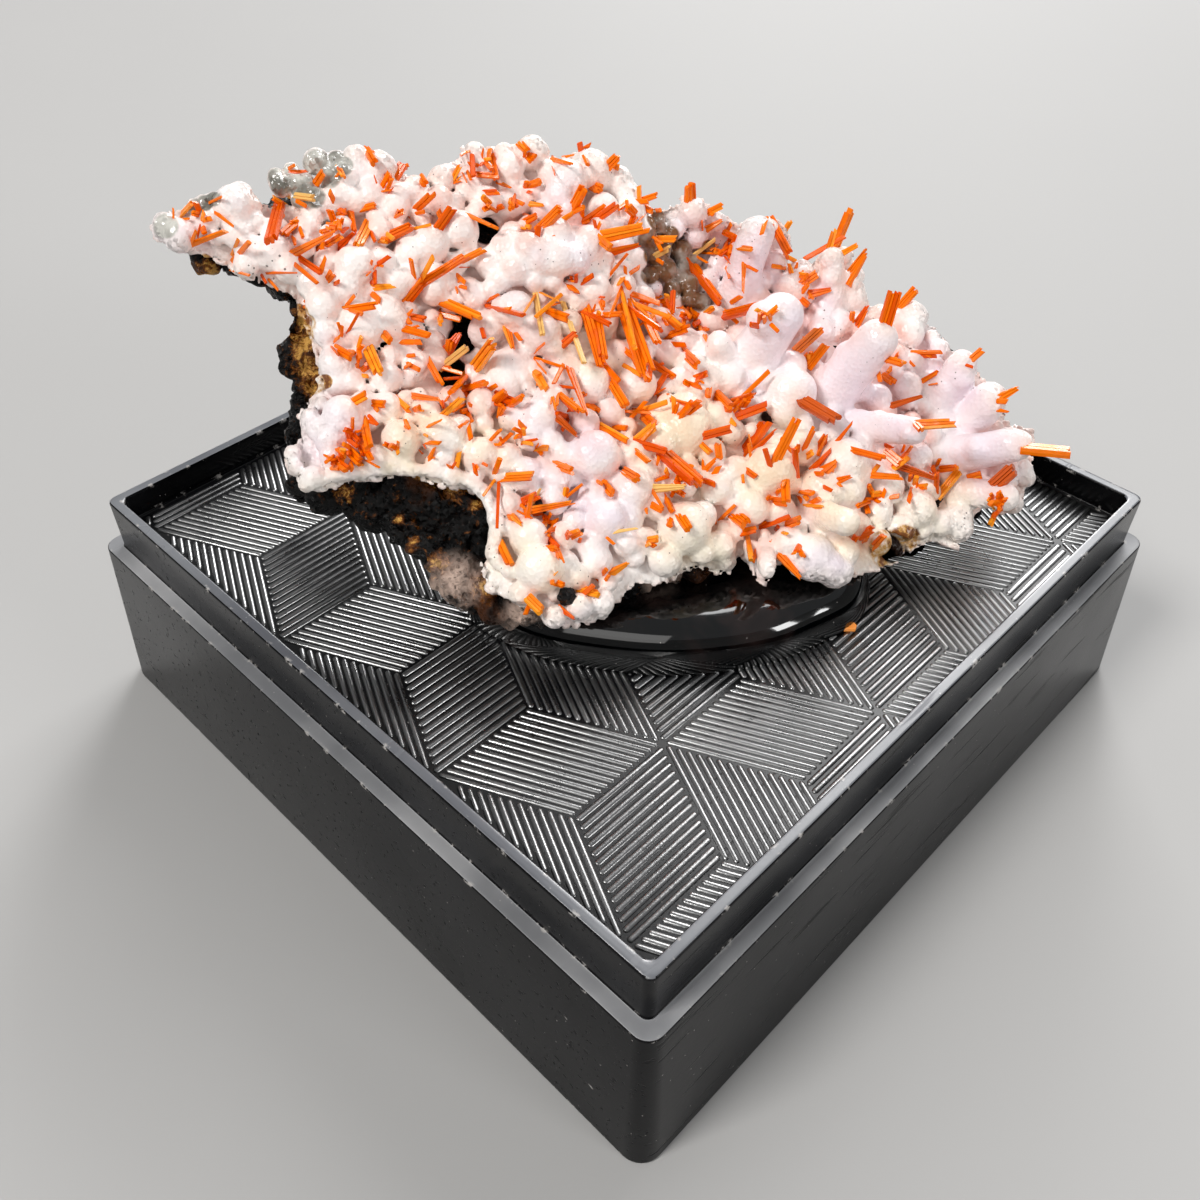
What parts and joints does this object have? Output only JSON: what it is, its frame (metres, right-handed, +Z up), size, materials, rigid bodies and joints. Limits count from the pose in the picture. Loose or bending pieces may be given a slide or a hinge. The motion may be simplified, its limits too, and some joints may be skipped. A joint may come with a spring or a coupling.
{
  "type": "crocoite mineral specimen on display base",
  "caption": "Crocoite prisms on a lumpy white gibbsite crust over dark rock, glued on a small square black display base.",
  "frame": {"origin": "centre of the square base's underside", "axes": "+Z up; X and Y along the sides of the base; the specimen's face looks up and toward the corner between +X and -Y"},
  "size_m": [0.0328, 0.0328, 0.0233],
  "materials": {
    "base_plastic": "satin black moulding, fine-ribbed tray floor",
    "glue": "glossy black set glue",
    "rock": "rough dark brown to black, with golden flecks",
    "gibbsite": "waxy porcelain white, pale lilac to cream",
    "crocoite": "bright orange, vitreous, finely striated"
  },
  "bodies": {
    "root": {"display_base": "base_plastic", "glue": "glue", "matrix": "rock", "gibbsite_crust": "gibbsite"}
  },
  "joints": []
}
